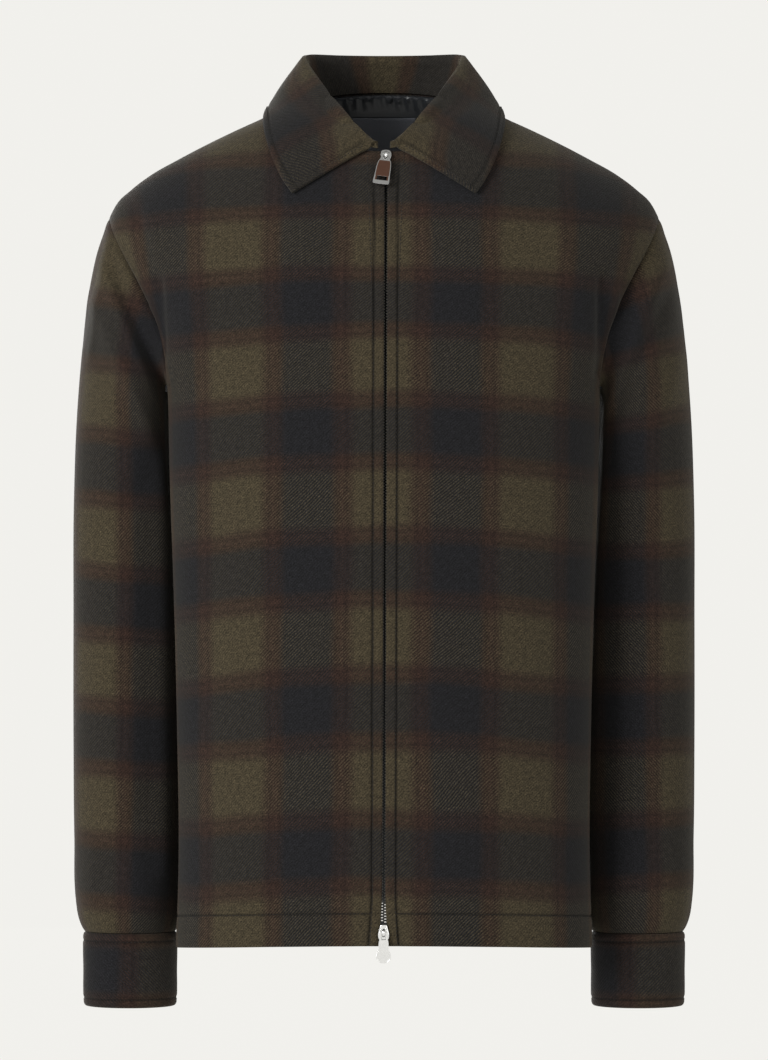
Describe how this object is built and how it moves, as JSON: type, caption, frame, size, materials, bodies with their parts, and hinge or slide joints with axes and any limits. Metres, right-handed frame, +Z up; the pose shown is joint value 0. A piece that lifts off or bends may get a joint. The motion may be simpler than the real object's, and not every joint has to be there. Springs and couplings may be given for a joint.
{
  "type": "zip jacket",
  "caption": "Check wool jacket with a turned-down collar, a two-way front zip and banded cuffs, held open in the form in which it is worn.",
  "frame": {"origin": "on the centre line at the height of the neck points of the shoulder seams, midway through the shoulder seam, where the wearer carries it", "axes": "+Z up, +X to the wearer's left, -Y to the front"},
  "size_m": [0.5314, 0.267, 0.8134],
  "materials": {
    "wool_check": "soft brushed woven twill",
    "wool_cuff": "soft brushed woven twill, turned across the grain",
    "wool_collar": "soft brushed woven twill",
    "satin_lining": "smooth satin",
    "label": "smooth, tightly woven",
    "zip_tape": "woven tape",
    "zip_teeth": "dark, satin",
    "slider_metal": "polished",
    "pull_metal": "polished, warm tint"
  },
  "bodies": {
    "jacket": {"front_left": "wool_check", "front_right": "wool_check", "back": "wool_check", "sleeve_left": "wool_check", "sleeve_right": "wool_check", "cuff_left": "wool_cuff", "cuff_right": "wool_cuff", "collar": "wool_collar", "lining_back": "satin_lining", "neck_label": "label", "zip_tape_left": "zip_tape", "zip_tape_right": "zip_tape", "zip_chain": "zip_teeth", "zip_slider_top": "slider_metal", "zip_slider_bottom": "slider_metal"},
    "top_pull": {"zip_pull_top": "pull_metal"},
    "bottom_pull": {"zip_pull_bottom": "slider_metal"}
  },
  "joints": [
    {"name": "top_pull_swing", "type": "hinge", "parent": "jacket", "child": "top_pull", "pos_m": [0.00168, -0.10062, -0.05335], "axis": [-0.989, 0.0795, 0.1246], "range_deg": [0, 120]},
    {"name": "bottom_pull_swing", "type": "hinge", "parent": "jacket", "child": "bottom_pull", "pos_m": [-0.00036, -0.13045, -0.69966], "axis": [-1, 0, 0], "range_deg": [0, 120]}
  ]
}
